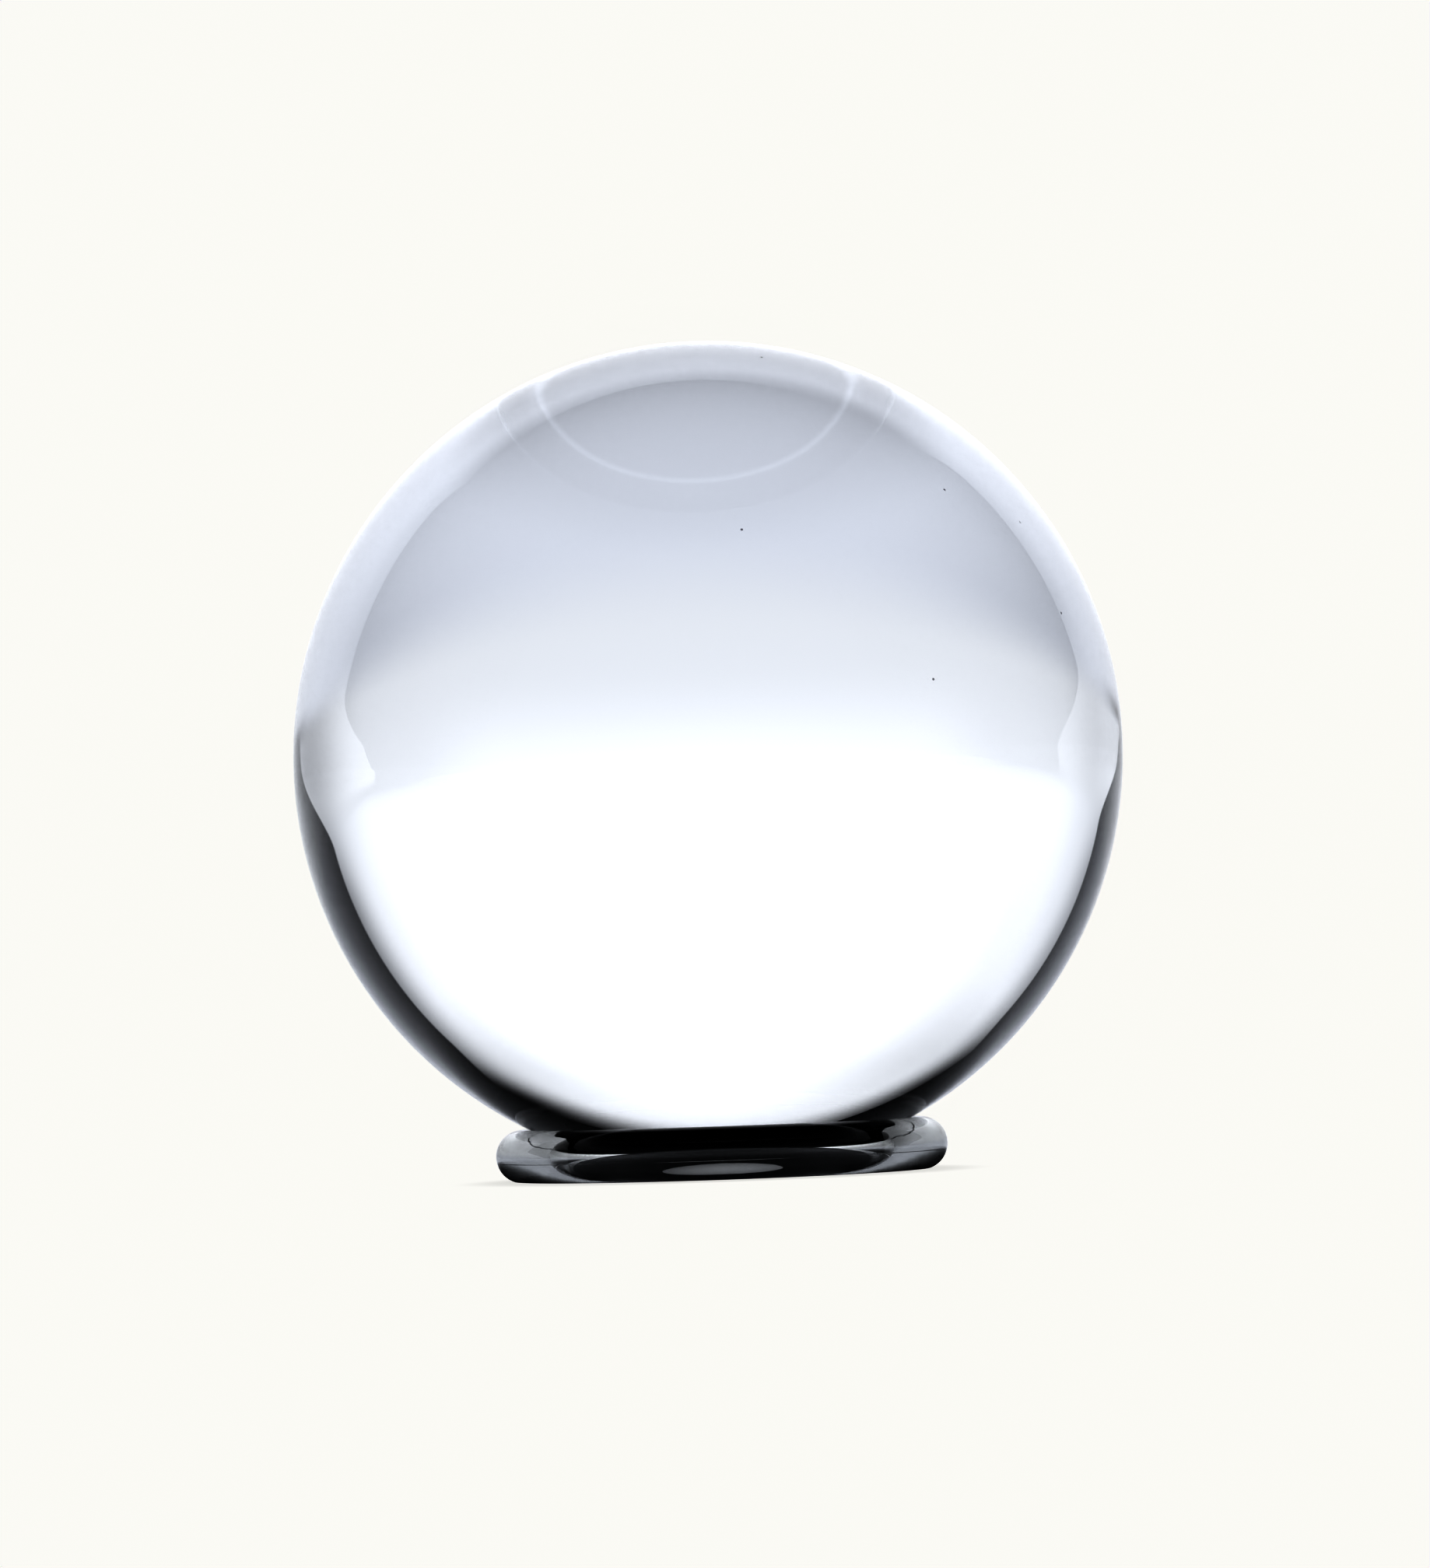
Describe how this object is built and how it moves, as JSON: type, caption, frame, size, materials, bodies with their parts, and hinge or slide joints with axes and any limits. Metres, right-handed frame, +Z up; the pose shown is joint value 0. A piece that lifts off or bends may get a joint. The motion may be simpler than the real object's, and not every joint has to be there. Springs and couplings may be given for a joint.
{
  "type": "crystal ball",
  "caption": "Solid clear glass ball for fortune telling and stage magic, resting loose in a clear glass ring stand with a round section and a flat foot.",
  "frame": {"origin": "on the table under the ball's centre, in the middle of the ring stand's flat foot", "axes": "+Z up along the axis of the ring stand, through the ball's centre; +Y away from the viewer, +X to the viewer's right; the object is round about Z, so X and Y are free"},
  "size_m": [0.15, 0.15, 0.1508],
  "materials": {
    "ball_glass": "polished optical glass, clear",
    "ring_glass": "fire polished clear glass with a ground foot"
  },
  "bodies": {
    "ring_stand": {"ring_stand": "ring_glass"},
    "crystal_ball": {"crystal_ball": "ball_glass"}
  },
  "joints": [
    {"name": "ball_lift", "type": "slide", "parent": "ring_stand", "child": "crystal_ball", "axis": [0, 0, 1], "range_m": [0, 0.06]}
  ]
}
